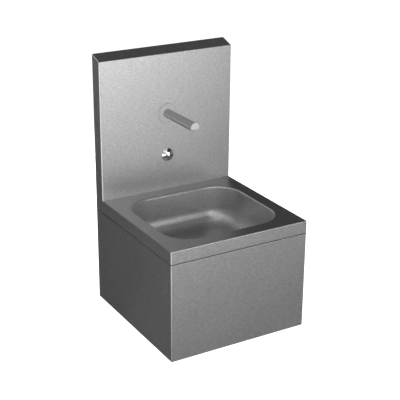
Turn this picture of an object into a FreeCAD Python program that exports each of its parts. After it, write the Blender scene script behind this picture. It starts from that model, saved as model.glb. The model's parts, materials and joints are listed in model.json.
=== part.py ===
import FreeCAD, Part
import math
import os

# Wall-hung stainless steel hand wash sink with a splashback, a timed push-button valve, a fixed spout
# and a bottle trap inside a screwed-on casing.
# Millimetres. X to the right, Y into the wall, Z up.
# The origin is on the wall, midway across, level with the rim.

Vec = FreeCAD.Vector

# ---- overall sizes -------------------------------------------------------------------------------
width = 400.0                # across the front
depth = 420.0                # wall to front
splash_height = 383.0        # rim to the front edge of the splashback's top
splash_depth = 40.0          # splashback face to wall
top_rise = 14.0              # the splashback's top climbs this much towards the wall
casing_drop = 303.0          # rim to the bottom of the casing
apron_height = 35.0          # folded edge of the worktop

# ---- sheet metal ---------------------------------------------------------------------------------
sheet = 1.2
bend_inside = 0.6
apron_lip = 12.0             # folded in under the apron
splash_lip = 10.0            # folded in against the wall
casing_lip = 14.0            # folded in at the casing's top
casing_flange = 18.0         # folded in at the casing's bottom
casing_return = 11.0         # folded in against the wall
seam_gap = 0.5               # shadow line between apron and casing
mitre_gap = 0.6
hook_width = 30.0            # the casing's hooks, behind the apron's lip
hook_height = 11.0
hook_inset = 90.0            # worktop edge to the middle of each hook
slot_half = 20.0             # the hose's slot through the worktop
slot_radius = 11.0

# ---- bowl ----------------------------------------------------------------------------------------
side_border = 38.0           # worktop edge to the bowl's wall
front_border = 42.0
back_border = 46.0           # splashback to the bowl's wall
bowl_depth = 103.0
bowl_corner = 74.0
bowl_foot = 44.0             # radius between the walls and the floor
bowl_draft = 3.0             # degrees
rim_roll = 4.0
bowl_flange = 6.0            # flat edge that is welded flush into the worktop
dish_border = 4.6            # level band round the dished part of the floor
dish_fall = 2.0
recess_radius = 38.0
recess_depth = 4.0
recess_slope = 2.0
waste_hole = 26.0

# ---- carrying frame ------------------------------------------------------------------------------
plate = 2.5
rail_plate = 3.0
rail_half = 33.0
rail_gap = 2.0               # rear rail to the brackets
bracket_inset = 18.0         # worktop edge to a bracket's web
flange_inset = 3.0           # worktop edge to a bracket's flanges
bracket_setback = 90.0       # worktop front to the brackets' ends
bracket_nose = 30.0
foot_length = 80.0
foot_start = 12.0
foot_rise = 40.0
window_margin = 50.0
window_top = 60.0
window_span = 148.0          # what the web keeps of its shorter side, round the window
window_corner = 12.0
wall_hole = 4.5
fixing_inset = 35.0          # worktop edge to the wall fixings
fixing_edge = 15.0
fixing_drop = 42.0           # rear rail to the brackets' upper fixings
fixing_margin = 58.0         # casing's bottom to their lower fixings
rail_fixing_inset = 50.0
rail_fixing_drop = 18.0
stud_size = 3.0
stud_length = 14.0
stud_end_margin = 40.0       # bracket's end to its front stud
rear_stud = 90.0             # wall to the rear studs
deck_nut_flats = 10.0
deck_nut_height = 5.0
screw_inset = 9.0            # worktop edge to the line of studs and casing screws
screw_radius = 2.5
screw_head = 4.5
screw_length = 10.0
head_height = 2.0
head_bevel = 1.0
slot_width = 1.2             # of every slotted screw
foot_screws = (-30.0, -60.0)
hanger_half_length = 150.0
hanger_margin = 48.0         # front top edge of the splashback to the hanger's lower edge
hanger_step = 27.0
hanger_stand = 12.0
hanger_leg = 14.0
hanger_fixing_x = 120.0
hanger_fixing_rise = 12.0
hook_rise = 44.0             # hanger's lower edge to the hook's top
hook_strap = 35.0
hook_drop = 13.0
hook_end_inset = 10.0

# ---- spout and feed ------------------------------------------------------------------------------
spout_height = 218.0
spout_radius = 12.5
spout_wall = 1.5
spout_reach = 150.0
spout_edge = 0.6
half_inch = 10.5             # radius of a half-inch pipe thread
tail_bore = 7.0
tip_flat = 4.5               # flat under the tip, below the axis
tip_length = 15.0
tip_channel = 4.5
tip_floor = 1.0              # metal between the channel and the flat
tip_plug = 2.0               # solid metal behind the flat
outlet_radius = 5.5
straightener_thickness = 2.5
straightener_rings = ((1, 0.0), (6, 2.2), (10, 4.1))
straightener_hole = 0.75
rosette_radius = 27.5
rosette_thickness = 1.5
washer_border = 6.0
spout_washer_thickness = 1.5
spout_nut_flats = 27.0
spout_nut_height = 6.0
elbow_radius = 13.0
elbow_gap = 5.0              # wall to the elbow
casting_wall = 3.0
feed_line = 23.0             # splashback's face to the line of the feed pipe and hose
feed_radius = 5.0
feed_wall = 1.0
feed_nut_flats = 19.0
feed_nut_grip = 7.0
feed_nut_floor = 5.0
port_radius = 7.5
port_reach = 26.0            # elbow's axis to its port's end

# ---- push-button valve: stations run from the splashback's face into the wall --------------------
button_height = 99.0
button_radius = 18.5
button_dome = 9.0
button_wall = 1.5
button_stand = 1.5           # straight skirt in front of the splashback
button_edge = 0.6
button_travel = 5.5
skirt_end = 6.5
boss_radius = 10.5
spring_start = 0.5
spring_radius = 8.5
spring_wire = 0.7
spring_quarters = 14
stem_radius = 3.0
stem_start = -6.0
stem_seal_width = 1.7
piston_start = 20.0
piston_length = 4.0
piston_pin = 2.5
piston_nut_flats = 7.0
piston_nut_height = 2.2
seal_seat = 6.6
seal_width = 2.4
sleeve_bore = 9.05
slit_start = 25.0            # the sleeve's windows for the water
slit_end = 30.0
slit_half = 2.5
gasket_thickness = 1.0
bonnet_thickness = 4.0
bonnet_border = 3.0          # chamber to the bonnet's thread
bonnet_hub = 6.5
hub_length = 2.0
key_hole = 1.2
key_place = 11.5
chamber_radius = 12.0
chamber_end = 33.0
valve_wall = 5.2
lug_reach = 9.0              # valve's edge to the line of its studs
lug_radius = 7.0
lug_thickness = 4.0
stud_radius = 2.5
stud_end = 15.0
valve_nut_flats = 8.0
valve_nut_height = 4.0

# ---- supply --------------------------------------------------------------------------------------
hose_radius = 6.0
hose_bore = 4.0
hose_in = 4.0                # nipple's end to the hose's end
ferrule_wall = 1.2
ferrule_length = 18.0
collar = 2.5
collar_radius = 9.4
washer = 2.0
hose_nut_flats = 24.0
nut_grip = 9.0               # thread inside a hose nut
nut_floor = 5.0
stop_x = 110.0
stop_height = -205.0
stop_setback = 40.0          # wall to the stop valve's outlet
stop_port = 32.0
stop_tail = 16.0             # thread that goes into the wall's fitting
stop_hexagon = 6.0
stop_flats = 26.0
stop_barrel = 13.0
stop_bore = 9.0
stop_passage = 5.5
barrel_end = 56.0
seat_place = 35.0
disc_thickness = 4.0
disc_rim = 1.5
bonnet_start = 44.0
bonnet_flats = 21.0
bonnet_neck = 3.0
spindle_radius = 4.0
knob_radius = 17.0
knob_wall = 3.5
knob_start = 67.0
knob_end = 83.0
knob_lobes = 8
knob_groove = 4.0
knob_offset = 1.5            # knob's edge to the middle of each groove
knob_hub = 4.0
knob_web = 7.0
knob_seat = 5.0              # knob's front to the spindle's end
handle_screw = 2.0
handle_screw_head = 4.4
handle_screw_height = 2.2
handle_screw_neck = 2.0

# ---- waste ---------------------------------------------------------------------------------------
strainer_radius = 33.0
strainer_thickness = 1.5
strainer_edge = 1.2          # width of the turned-up edge
strainer_seal = 1.0
strainer_hole = 2.6
strainer_rings = ((8, 11.5, 0.0), (12, 20.0, 15.0))
strainer_screw_radius = 3.0
strainer_screw_length = 30.0
countersink_radius = 5.6
countersink_start = 0.3
seal = 2.0
funnel_radius = 35.0
funnel_flange = 4.0
funnel_depth = 19.0
bridge_hub = 5.5
bridge_high = 14.0
bridge_low = 24.0
bridge_web = 2.4
thread_length = 52.0         # waste body's flange to the end of its thread
waste_thread = 20.9          # inch and a quarter thread
pipe_radius = 16.0
pipe_wall = 1.5
pipe_room = 1.0              # round a pipe inside a threaded piece
pipe_insert = 14.0
bead_setback = 45.0          # wall to the outlet pipe's bead
bead_width = 3.0
bead_height = 1.5
dip_collar = 3.0
union_wall = 4.5
union_floor = 4.0
union_grip = 20.0
union_ribs = 10
rib_radius = 3.0             # grooves of every ribbed nut
rib_offset = 1.2
neck_floor = 3.5
neck_grip = 7.0
neck_length = 9.0
branch_gap = 3.0             # bottle to the nut on its branch
branch_grip = 14.0
trap_step = 9.1              # branch thread to the bottle's wall
trap_wall = 2.5
branch_crown = 0.9           # how far the branch stands above the bottle's shoulder
trap_depth = 82.0            # outlet's axis to the bottom of the cup
dip_depth = 64.0             # outlet's axis to the end of the dip tube
cup_overlap = 12.0
cup_gap = 2.6                # cup's rim to the nut on the branch
cup_rim = 3.5
cup_base = 2.5
cup_ribs = 12
seal_squeeze = 1.5

# ---- fits ----------------------------------------------------------------------------------------
running = 0.05               # radial, round a shaft or a thread
clear = 0.3                  # between pieces that only pass each other
overlap = 1.0                # how far a cutting tool stands out of what it cuts

# ---- worked out ----------------------------------------------------------------------------------
half = width / 2
bend = sheet + bend_inside
inner_half = half - sheet
face = -splash_depth
panel_back = face + sheet
casing_top = -apron_height - seam_gap
hook_place = half - hook_inset
bowl_length = width - 2 * side_border
bowl_width = depth - splash_depth - front_border - back_border
bowl_centre = face - back_border - bowl_width / 2
bowl_inset = bowl_depth * math.tan(math.radians(bowl_draft))
dish_radius = min(bowl_length, bowl_width) / 2 - bowl_inset - bowl_foot - dish_border
rail_half_length = inner_half - splash_lip - clear - 1
bracket_x = half - bracket_inset
bracket_reach = depth - bracket_setback
stud_rows = (-rear_stud, stud_end_margin - bracket_reach)
screw_x = half - screw_inset
fixing_x = half - fixing_inset
fixing_high = -rail_half - fixing_drop
fixing_low = fixing_margin - casing_drop
rail_fixing_x = half - rail_fixing_inset
hanger_low = splash_height - hanger_margin
hanger_fixing_height = hanger_low + hanger_fixing_rise
tip_end = face - spout_reach
tip_middle = tip_end + tip_length / 2
feed_place = face + feed_line
feed_bore = feed_radius - feed_wall
tail_end = feed_place - feed_radius
body_start = sheet + gasket_thickness
recess_floor = skirt_end + button_travel + overlap
bonnet_radius = chamber_radius + bonnet_border
bonnet_end = recess_floor + bonnet_thickness
valve_radius = button_radius + clear + valve_wall
valve_waist = bonnet_radius + casting_wall
valve_port = valve_radius + nut_grip
valve_end = chamber_end + casting_wall
lug_place = valve_radius + lug_reach
ferrule_radius = hose_radius + ferrule_wall
valve_port_end = button_height - valve_port
stop_outlet = -stop_setback
stop_port_end = stop_height + stop_port
spindle_end = knob_end - knob_seat
hose_ends = ((0.0, feed_place, valve_port_end, -1), (stop_x, stop_outlet, stop_port_end, 1))
recess_top = -bowl_depth - dish_fall - recess_depth
under_bowl = recess_top - sheet
flange_top = under_bowl - seal
thread_end = flange_top - thread_length
waste_bore = pipe_radius + pipe_room
union_low = thread_end - seal - dip_collar - union_floor
neck_top = union_low - clear - neck_floor - seal
trap_radius = waste_thread + trap_step
trap_shoulder = waste_thread - branch_crown
trap_skirt = waste_thread + union_wall + cup_gap + cup_overlap
branch_length = trap_radius + branch_gap + branch_grip
trap_height = neck_top - neck_length - trap_shoulder
body_low = trap_height - trap_skirt
trap_base = trap_height - trap_depth
dip_end = trap_height - dip_depth


def block(x, y, z):
    """A box between two values on each axis, in either order."""
    (x0, x1), (y0, y1), (z0, z1) = sorted(x), sorted(y), sorted(z)
    return Part.makeBox(x1 - x0, y1 - y0, z1 - z0, Vec(x0, y0, z0))


def rod(radius, start, end):
    start, end = Vec(*start), Vec(*end)
    return Part.makeCylinder(radius, (end - start).Length, start, end - start)


def ring(outer, inner, start, end):
    return rod(outer, start, end).cut(rod(inner, start, end))


def prism(outline, axis):
    """A closed outline of points pushed along the axis."""
    points = [Vec(*p) for p in outline]
    return Part.Face(Part.makePolygon(points + points[:1])).extrude(Vec(*axis))


def place(shape, start, axis):
    """Stands a shape that was made along +Z at the start point, along the axis."""
    shape = shape.copy()
    shape.Placement = FreeCAD.Placement(Vec(*start), FreeCAD.Rotation(Vec(0, 0, 1), Vec(*axis)))
    return shape


def hexagon(across_flats, bore, start, end):
    start, end = Vec(*start), Vec(*end)
    length = (end - start).Length
    radius = across_flats / math.sqrt(3)
    turns = [math.radians(60 * n) for n in range(6)]
    corners = [(radius * math.cos(turn), radius * math.sin(turn), 0) for turn in turns]
    nut = prism(corners, (0, 0, length))
    if bore:
        nut = nut.cut(Part.makeCylinder(bore, length))
    return place(nut, start, end - start)


def turned(profile, start, axis):
    """A profile of (radius, station) points turned about the axis, with stations from the start point."""
    points = [Vec(r, 0, s) for r, s in profile]
    solid = Part.Face(Part.makePolygon(points + points[:1])).revolve(Vec(0, 0, 0), Vec(0, 0, 1), 360)
    return place(solid, start, axis)


def rounded_edges(shape, radius, wanted):
    return shape.makeFillet(radius, [e for e in shape.Edges if wanted(e)])


def middle(edge):
    return edge.valueAt((edge.FirstParameter + edge.LastParameter) / 2)


def near(a, b):
    return abs(a - b) < 1e-4


def level(edge, z):
    """True for an edge that lies wholly at one height."""
    return near(edge.BoundBox.ZMin, z) and near(edge.BoundBox.ZMax, z)


# ---- worktop and bowl ----------------------------------------------------------------------------

def rounded_rectangle(half_x, half_y, radius, z):
    """A closed wire round the bowl's centre."""
    edges, ends = [], []
    for number, (sx, sy) in enumerate(((1, 1), (-1, 1), (-1, -1), (1, -1))):
        centre = Vec(sx * (half_x - radius), bowl_centre + sy * (half_y - radius), z)
        turns = [math.radians(90 * number + a) for a in (0, 45, 90)]
        arc = [centre + Vec(radius * math.cos(a), radius * math.sin(a), 0) for a in turns]
        edges.append(Part.Arc(*arc).toShape())
        ends.append((arc[0], arc[2]))
    sides = [Part.LineSegment(ends[n][1], ends[(n + 1) % 4][0]).toShape() for n in range(4)]
    return Part.Wire([e for pair in zip(edges, sides) for e in pair])


def bowl_outline(grow, z):
    return rounded_rectangle(bowl_length / 2 + grow, bowl_width / 2 + grow, bowl_corner + grow, z)


def make_worktop():
    """Folded down at the front and sides, with a lip under each apron; the splashback stands on its back."""
    low = -apron_height
    front = block((-half, half), (-depth, face), (low, 0))
    front = rounded_edges(front, bend, lambda e: middle(e).y < face - 1)
    tray = front.fuse(block((-half, half), (face, 0), (low, 0))).removeSplitter()
    hollow = block((-inner_half, inner_half), (-depth + sheet, overlap), (low + sheet, -sheet))
    hollow = rounded_edges(hollow, bend_inside, lambda e: middle(e).y < 0)
    lip_half = inner_half - apron_lip
    mouth = block((-lip_half, lip_half), (-depth + sheet + apron_lip, overlap), (low - overlap, -sheet))
    opening = Part.Face(bowl_outline(rim_roll + bowl_flange, -2 * sheet)).extrude(Vec(0, 0, 3 * sheet))
    rail_notch = block((-rail_half_length, rail_half_length), (-rail_plate, overlap), (-2 * sheet, sheet))
    return tray.cut([hollow, mouth, opening, rail_notch, pipe_slot()])


def pipe_slot():
    """Lets the hose through the worktop, behind the splashback's face."""
    low, high = -2 * sheet, sheet
    slot = block((-slot_half, slot_half), (feed_place - slot_radius, feed_place + slot_radius), (low, high))
    ends = [rod(slot_radius, (x, feed_place, low), (x, feed_place, high)) for x in (-slot_half, slot_half)]
    return slot.fuse(ends)


def bowl_mould(grow):
    """The material under one skin of the bowl: grow is 0 for the inside, a sheet's thickness for the outside."""
    foundation = bowl_depth + 2 * recess_depth + dish_fall
    mould = Part.Face(bowl_outline(rim_roll + bowl_flange, -foundation)).extrude(Vec(0, 0, foundation - grow))
    floor = -bowl_depth - grow
    walls = [bowl_outline(grow, -grow), bowl_outline(grow - bowl_inset, floor)]
    mould = mould.cut(Part.makeLoft(walls, True, True))
    mould = rounded_edges(mould, bowl_foot + grow, lambda e: level(e, floor))
    flange_half = bowl_length / 2 + rim_roll + bowl_flange
    flange_depth = bowl_width / 2 + rim_roll + bowl_flange
    mould = rounded_edges(mould, rim_roll - grow, lambda e: level(e, -grow)
                          and e.BoundBox.XMax < flange_half - 1 and e.BoundBox.XMin > 1 - flange_half
                          and abs(middle(e).y - bowl_centre) < flange_depth - 1)
    return mould.cut(drain_recess(floor, grow))


def drain_recess(floor, grow):
    """The floor's fall, tangent to the floor at its edge, and the flat-bottomed recess under the strainer."""
    run = dish_radius - recess_radius
    arc_radius = (run ** 2 + dish_fall ** 2) / (2 * dish_fall)
    lip = recess_radius + grow / 2
    start, end = Vec(dish_radius, 0, floor), Vec(lip, 0, floor - dish_fall)
    bow = Vec(dish_radius - run / 2, 0, floor - arc_radius + math.sqrt(arc_radius ** 2 - run ** 2 / 4))
    foot = Vec(lip - recess_slope, 0, floor - dish_fall - recess_depth)
    over = floor + overlap
    corners = [end, foot, Vec(0, 0, foot.z), Vec(0, 0, over), Vec(dish_radius, 0, over), start]
    edges = [Part.Arc(start, bow, end).toShape()]
    edges += [Part.LineSegment(p, q).toShape() for p, q in zip(corners, corners[1:])]
    solid = Part.Face(Part.Wire(edges)).revolve(Vec(0, 0, 0), Vec(0, 0, 1), 360)
    return place(solid, (0, bowl_centre, 0), (0, 0, 1))


def make_bowl():
    """Pressed from one sheet: flange, rolled rim, drafted walls, wide foot, dished floor, strainer recess."""
    bowl = bowl_mould(0).cut(bowl_mould(sheet))
    return bowl.cut(rod(waste_hole, down(under_bowl - overlap), down(0)))


# ---- splashback and casing -----------------------------------------------------------------------

def slope(y):
    """Height of the splashback's sloping top."""
    return splash_height + top_rise * (y - face) / splash_depth


def make_splashback():
    skin = sheet / math.cos(math.atan2(top_rise, splash_depth))
    side = [(-half, face, 0), (-half, face, slope(face)), (-half, 0, slope(0)), (-half, 0, 0)]
    outer = prism(side, (width, 0, 0))
    outer = rounded_edges(outer, bend, lambda e: near(middle(e).y, face) and middle(e).z > 1
                          or middle(e).z > splash_height and middle(e).y < -1)
    hollow = prism([(-inner_half, panel_back, -overlap), (-inner_half, panel_back, slope(panel_back) - skin),
                    (-inner_half, -sheet, slope(-sheet) - skin), (-inner_half, -sheet, -overlap)],
                   (2 * inner_half, 0, 0))
    mouth_half = inner_half - splash_lip
    mouth = block((-mouth_half, mouth_half), (-2 * sheet, overlap), (-overlap, slope(0) - skin - splash_lip))
    holes = [rod(radius + clear, (0, face - overlap, z), (0, panel_back + overlap, z))
             for radius, z in ((half_inch, spout_height), (button_radius, button_height))]
    return outer.cut([hollow, mouth] + holes)


def make_casing():
    """Front and sides folded from one sheet, open at the wall and below, and hooked behind the apron's lip."""
    top, low = casing_top, -casing_drop
    outer = block((-half, half), (-depth, 0), (low, top))
    outer = rounded_edges(outer, bend, lambda e: middle(e).y < -1)
    hollow = block((-inner_half, inner_half), (-depth + sheet, -sheet), (low + sheet, top - sheet))
    hollow = rounded_edges(hollow, bend_inside, lambda e: middle(e).y < -2 * sheet)
    mouths = [casing_mouth(casing_flange, -depth + sheet + casing_flange, (low - overlap, low + 2 * sheet)),
              casing_mouth(casing_lip, -depth + sheet + casing_lip, (top - 2 * sheet, top + overlap)),
              casing_mouth(casing_return, -2 * sheet, (low - overlap, top + overlap))]
    shell = outer.cut([hollow] + mouths)
    for side in (-1, 1):
        x = side * screw_x
        holes = [rod(screw_radius + clear, (x, y, low - overlap), (x, y, low + 2 * sheet)) for y in foot_screws]
        shell = shell.cut([mitre(side, casing_flange, low), mitre(side, casing_lip, top - sheet)] + holes)
        x, front, back = side * hook_place, -depth + sheet + apron_lip + clear, -depth + sheet + casing_lip
        shell = shell.fuse(block((x - hook_width / 2, x + hook_width / 2), (front, back),
                                 (top - sheet, top + hook_height)))
    return shell.removeSplitter()


def casing_mouth(lip, front, levels):
    """The opening that a folded edge leaves, between two levels."""
    return block((lip - inner_half, inner_half - lip), (front, overlap), levels)


def mitre(side, lip, z):
    """The open mitre where two folded edges meet in a front corner, with the lip's underside at z."""
    x, y, run, gap = side * inner_half, -depth + sheet, lip + 1, side * mitre_gap
    return prism([(x, y, z - 1), (x - side * run, y + run, z - 1), (x - side * run - gap, y + run, z - 1),
                  (x - gap, y, z - 1)], (0, 0, sheet + 2))


# ---- carrying frame ------------------------------------------------------------------------------

def wall_holes(xs, zs, thickness):
    return [rod(wall_hole, (x, -thickness - overlap, z), (x, overlap, z)) for x in xs for z in zs]


def make_rear_rail():
    rail = block((-rail_half_length, rail_half_length), (-rail_plate, 0), (-rail_half, rail_half))
    return rail.cut(wall_holes((-rail_fixing_x, rail_fixing_x), (-rail_fixing_drop,), rail_plate))


def make_bracket(side):
    """A folded gusset: web, flange under the worktop, wall flange and foot for the casing screws."""
    top, low, start = -sheet, sheet - casing_drop, -rail_half - rail_gap
    web = [(-rail_plate, top), (-bracket_reach, top), (-bracket_reach, top - bracket_nose),
           (-foot_length, low + foot_rise), (-foot_length, low), (-plate, low), (-plate, start),
           (-rail_plate, start)]
    web = prism([(bracket_x, y, z) for y, z in web], (plate, 0, 0))
    leg = min(bracket_reach, casing_drop) - window_span
    window = [(-window_margin, -window_top), (-window_margin - leg, -window_top),
              (-window_margin, -window_top - leg)]
    window = prism([(bracket_x - overlap, y, z) for y, z in window], (plate + 2 * overlap, 0, 0))
    window = rounded_edges(window, window_corner, lambda e: near(middle(e).x, bracket_x + plate / 2))
    edge = half - flange_inset
    upper = block((bracket_x, edge), (-bracket_reach, -rail_plate), (top - plate, top))
    wall = block((fixing_x - fixing_edge, bracket_x + plate), (-plate, 0), (low + plate, start))
    foot = block((bracket_x, edge), (-foot_length, -foot_start), (low, low + plate))
    bracket = web.cut(window).fuse([upper, wall, foot]).removeSplitter()
    holes = wall_holes((fixing_x,), (fixing_high, fixing_low), plate)
    holes += [rod(stud_size + clear, (screw_x, y, top - 2 * plate), (screw_x, y, top + overlap))
              for y in stud_rows]
    holes += [rod(screw_radius + running, (screw_x, y, low - overlap), (screw_x, y, low + 2 * plate))
              for y in foot_screws]
    bracket = bracket.cut(holes)
    return bracket if side > 0 else bracket.mirror(Vec(0, 0, 0), Vec(1, 0, 0))


def make_deck_studs():
    return [rod(stud_size, (s * screw_x, y, -sheet - stud_length), (s * screw_x, y, -sheet))
            for s in (-1, 1) for y in stud_rows]


def make_deck_nuts():
    top = -sheet - plate
    low = top - deck_nut_height
    return [hexagon(deck_nut_flats, stud_size + running, (s * screw_x, y, low), (s * screw_x, y, top))
            for s in (-1, 1) for y in stud_rows]


def make_casing_screws():
    screws = []
    for x, y in [(s * screw_x, y) for s in (-1, 1) for y in foot_screws]:
        head = turned([(0, 0), (screw_head, 0), (screw_head, head_bevel - head_height),
                       (screw_head - head_bevel, -head_height), (0, -head_height)],
                      (x, y, -casing_drop), (0, 0, 1))
        slot = block((x - screw_head, x + screw_head), (y - slot_width / 2, y + slot_width / 2),
                     (-casing_drop - head_height, -casing_drop - head_bevel))
        shank = rod(screw_radius, (x, y, -casing_drop), (x, y, -casing_drop + screw_length))
        screws.append(head.cut(slot).fuse(shank))
    return screws


def make_wall_hanger():
    """Screwed to the wall first: the splashback's hook drops behind its upper leg."""
    span, step = (-hanger_half_length, hanger_half_length), hanger_low + hanger_step
    rail = block(span, (-plate, 0), (hanger_low, step))
    rail = rail.fuse([block(span, (-hanger_stand, 0), (step - plate, step)),
                      block(span, (-hanger_stand, plate - hanger_stand), (step - plate, step + hanger_leg))])
    holes = wall_holes((-hanger_fixing_x, hanger_fixing_x), (hanger_fixing_height,), plate)
    return rail.removeSplitter().cut(holes)


def make_splash_hook():
    """Welded behind the splashback, and hung over the wall hanger."""
    top, reach = hanger_low + hook_rise, hanger_half_length - hook_end_inset
    behind = -hanger_stand + plate + clear
    span = (-reach, reach)
    hook = block(span, (panel_back, panel_back + plate), (top - hook_strap, top))
    hook = hook.fuse([block(span, (panel_back, behind + plate), (top - plate, top)),
                      block(span, (behind, behind + plate), (top - hook_drop, top))])
    return hook.removeSplitter()


# ---- spout and feed ------------------------------------------------------------------------------

def make_spout():
    """A straight tube with a solid tip that is milled flat underneath, round the outlet."""
    z, tip_back = spout_height, tip_end + tip_length
    body = rod(spout_radius, (0, tip_end, z), (0, face, z))
    body = rounded_edges(body, spout_edge, lambda e: near(middle(e).y, tip_end))
    wide = spout_radius + overlap
    flat = block((-wide, wide), (tip_end - overlap, tip_back), (z - wide, z - tip_flat))
    body = body.cut(flat).fuse(rod(half_inch, (0, face, z), (0, tail_end, z)))
    bore = rod(spout_radius - spout_wall, (0, tip_back + tip_plug, z), (0, face - tip_plug, z))
    channel = z - tip_flat + tip_floor + tip_channel
    return body.cut([bore, rod(tail_bore, (0, face - tip_plug - overlap, z), (0, tail_end + overlap, z)),
                     rod(tip_channel, (0, tip_middle, channel), (0, tip_back + tip_plug + overlap, channel)),
                     rod(outlet_radius, (0, tip_middle, z - tip_flat - overlap), (0, tip_middle, channel))])


def make_flow_straightener():
    low = spout_height - tip_flat
    disc = rod(outlet_radius - running, (0, tip_middle, low), (0, tip_middle, low + straightener_thickness))
    holes = []
    for count, radius in straightener_rings:
        for n in range(count):
            turn = 2 * math.pi * n / count
            x, y = radius * math.cos(turn), tip_middle + radius * math.sin(turn)
            holes.append(rod(straightener_hole, (x, y, low - 1), (x, y, low + straightener_thickness + 1)))
    return disc.cut(holes)


def make_spout_rosette():
    edge = rosette_thickness / 2
    return turned([(spout_radius + running, 0), (rosette_radius, 0), (rosette_radius, edge),
                   (rosette_radius - edge, rosette_thickness), (spout_radius + running, rosette_thickness)],
                  (0, face, spout_height), (0, -1, 0))


def make_spout_washer():
    return ring(half_inch + washer_border, half_inch + running, (0, panel_back, spout_height),
                (0, panel_back + spout_washer_thickness, spout_height))


def make_spout_nut():
    start = panel_back + spout_washer_thickness
    return hexagon(spout_nut_flats, half_inch + running, (0, start, spout_height),
                   (0, start + spout_nut_height, spout_height))


def make_spout_elbow():
    """Screwed on the spout's tail: its port looks down to the feed pipe."""
    z, start = spout_height, panel_back + spout_washer_thickness + spout_nut_height + clear
    body = rod(elbow_radius, (0, start, z), (0, -elbow_gap, z))
    body = body.fuse(rod(port_radius, (0, feed_place, z - port_reach), (0, feed_place, z)))
    return body.cut([rod(half_inch + running, (0, start - overlap, z), (0, tail_end + clear, z)),
                     rod(tail_bore, (0, tail_end, z), (0, -elbow_gap - casting_wall, z)),
                     rod(feed_bore, (0, feed_place, z - port_reach - overlap), (0, feed_place, z))])


def make_feed_pipe():
    top, low = spout_height - port_reach - running, button_height + valve_port + running
    return ring(feed_radius, feed_bore, (0, feed_place, low), (0, feed_place, top))


def make_feed_nuts():
    """Compression nuts: each holds the pipe against a port whose thread is inside the nut."""
    nuts = []
    for end, way in ((spout_height - port_reach, -1), (button_height + valve_port, 1)):
        nut = hexagon(feed_nut_flats, feed_radius + running, (0, feed_place, end - way * feed_nut_grip),
                      (0, feed_place, end + way * feed_nut_floor))
        nuts.append(nut.cut(rod(port_radius + running, (0, feed_place, end - way * (feed_nut_grip + 1)),
                                (0, feed_place, end))))
    return nuts


# ---- push-button valve ---------------------------------------------------------------------------

def station(s, x=0.0, z=0.0):
    """A point beside the button's axis, a distance behind the splashback's face."""
    return (x, face + s, button_height + z)


def lugs(start, end, hole):
    """The two ears, side by side, that sit over the splashback's weld studs."""
    ears = []
    for side in (-1, 1):
        x = side * lug_place
        ear = rod(lug_radius, station(start, x), station(end, x))
        ear = ear.fuse(block((side * (button_radius + clear), x), (face + start, face + end),
                             (button_height - lug_radius, button_height + lug_radius)))
        ears.append(ear.cut(rod(hole, station(start - overlap, x), station(end + overlap, x))))
    return ears


def make_valve_gasket():
    gasket = rod(valve_radius, station(sheet), station(body_start))
    gasket = gasket.fuse(lugs(sheet, body_start, stud_radius + clear)).removeSplitter()
    return gasket.cut(rod(button_radius + sheet, station(0), station(body_start + overlap)))


def make_valve_body():
    """A casting with a recess for the button, a threaded seat for the bonnet, a chamber and two ports."""
    waist = recess_floor + 2
    body = rod(valve_radius, station(body_start), station(waist))
    body = body.fuse(lugs(body_start, body_start + lug_thickness, stud_radius + clear))
    body = body.fuse([rod(valve_waist, station(waist), station(valve_end)),
                      rod(port_radius, station(feed_line), station(feed_line, z=valve_port)),
                      rod(half_inch, station(feed_line), station(feed_line, z=-valve_port))]).removeSplitter()
    return body.cut([rod(button_radius + clear, station(0), station(recess_floor)),
                     rod(bonnet_radius, station(recess_floor - overlap), station(bonnet_end)),
                     rod(chamber_radius, station(bonnet_end - overlap), station(chamber_end)),
                     rod(feed_bore, station(feed_line), station(feed_line, z=valve_port + overlap)),
                     rod(feed_radius, station(feed_line), station(feed_line, z=-valve_port - overlap))])


def make_valve_studs():
    return [rod(stud_radius, station(sheet, s * lug_place), station(stud_end, s * lug_place)) for s in (-1, 1)]


def make_valve_nuts():
    start = body_start + lug_thickness
    return [hexagon(valve_nut_flats, stud_radius + running, station(start, s * lug_place),
                    station(start + valve_nut_height, s * lug_place)) for s in (-1, 1)]


def make_valve_bonnet():
    """Screwed into the body: it guides the stem, holds its seal and carries the spring."""
    bonnet = rod(bonnet_radius - running, station(recess_floor), station(bonnet_end))
    bonnet = bonnet.fuse(rod(bonnet_hub, station(bonnet_end), station(bonnet_end + hub_length)))
    seal_room = stem_radius + stem_seal_width + 2 * running
    cuts = [rod(stem_radius + running, station(recess_floor - 1), station(bonnet_end + hub_length + 1)),
            rod(seal_room, station(bonnet_end - 1), station(bonnet_end + 1))]
    cuts += [rod(key_hole, station(recess_floor - 1, x), station(recess_floor + bonnet_thickness / 2, x))
             for x in (-key_place, key_place)]
    return bonnet.cut(cuts)


def soft_ring(inner, thickness, length, start):
    """A rubber ring with broken edges round the button's axis."""
    outer, edge = inner + thickness, thickness / 4
    return turned([(inner + edge, 0), (outer - edge, 0), (outer, edge), (outer, length - edge),
                   (outer - edge, length), (inner + edge, length), (inner, length - edge), (inner, edge)],
                  station(start), (0, 1, 0))


def make_stem_seal():
    return soft_ring(stem_radius + running, stem_seal_width, 2 * (1 - running), bonnet_end - 1 + running)


def make_cartridge_sleeve():
    """The piston's cylinder, with six windows that let the water round it."""
    sleeve = ring(chamber_radius - running, sleeve_bore, station(bonnet_end), station(chamber_end))
    windows = []
    for turn in range(30, 180, 60):
        window = block((-2 * chamber_radius, 2 * chamber_radius), (face + slit_start, face + slit_end),
                       (-slit_half, slit_half))
        window.rotate(Vec(0, 0, 0), Vec(0, 1, 0), turn)
        window.translate(Vec(0, 0, button_height))
        windows.append(window)
    return sleeve.cut(windows)


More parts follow.
